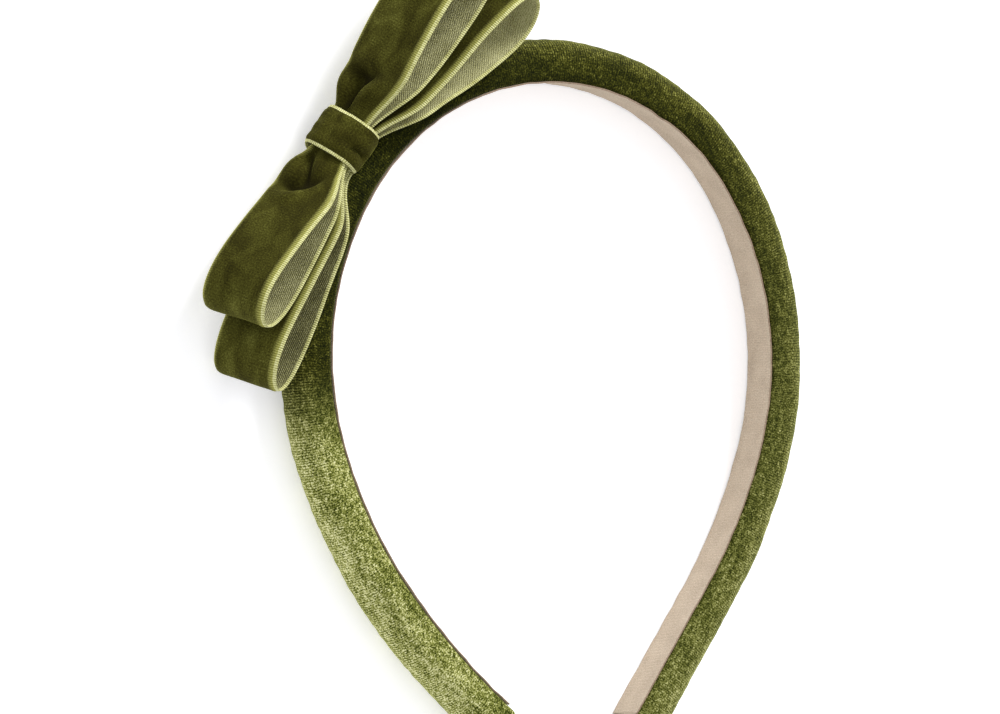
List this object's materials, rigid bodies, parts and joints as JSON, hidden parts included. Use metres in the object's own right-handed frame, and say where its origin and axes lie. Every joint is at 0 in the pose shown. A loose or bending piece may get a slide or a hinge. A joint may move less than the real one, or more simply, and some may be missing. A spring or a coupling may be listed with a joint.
{
  "type": "bow headband",
  "caption": "Slim padded velvet headband, open at the nape, with a layered ribbon bow gathered by a wrapped knot at one side.",
  "frame": {"origin": "centre of the crown's inner arc, at the height of the back edge that the band lies on", "axes": "+X to the right, +Y from the open end towards the crown, +Z from the band's back edge to its front edge"},
  "size_m": [0.1417, 0.1683, 0.0253],
  "materials": {
    "core": "matt moulded strip",
    "padding": "soft foam",
    "cover_velvet": "moss green stretch velvet with a crushed sheen",
    "lining": "fine woven beige ribbon",
    "ribbon_velvet": "olive velvet ribbon with pale woven edges and back",
    "thread": "olive sewing thread"
  },
  "bodies": {
    "crown": {"core_crown": "core", "padding_crown": "padding", "cover_crown": "cover_velvet", "lining_crown": "lining", "front_bow_ribbon": "ribbon_velvet", "back_bow_ribbon": "ribbon_velvet", "knot_wrap": "ribbon_velvet", "gathering_thread": "thread", "bow_stitches": "thread"},
    "left_arm": {"core_left_arm": "core", "padding_left_arm": "padding", "cover_left_arm": "cover_velvet", "lining_left_arm": "lining", "tip_fold_left": "cover_velvet"},
    "right_arm": {"core_right_arm": "core", "padding_right_arm": "padding", "cover_right_arm": "cover_velvet", "lining_right_arm": "lining", "tip_fold_right": "cover_velvet"}
  },
  "joints": [
    {"name": "flex_left", "type": "hinge", "parent": "crown", "child": "left_arm", "pos_m": [-0.05749, -0.02695, 0.0054], "axis": [0, 0, -1], "range_deg": [0, 15], "stiffness_Nm_per_rad": 0.7},
    {"name": "flex_right", "type": "hinge", "parent": "crown", "child": "right_arm", "pos_m": [0.05795, -0.03022, 0.0054], "axis": [0, 0, 1], "range_deg": [0, 15], "stiffness_Nm_per_rad": 0.7}
  ]
}
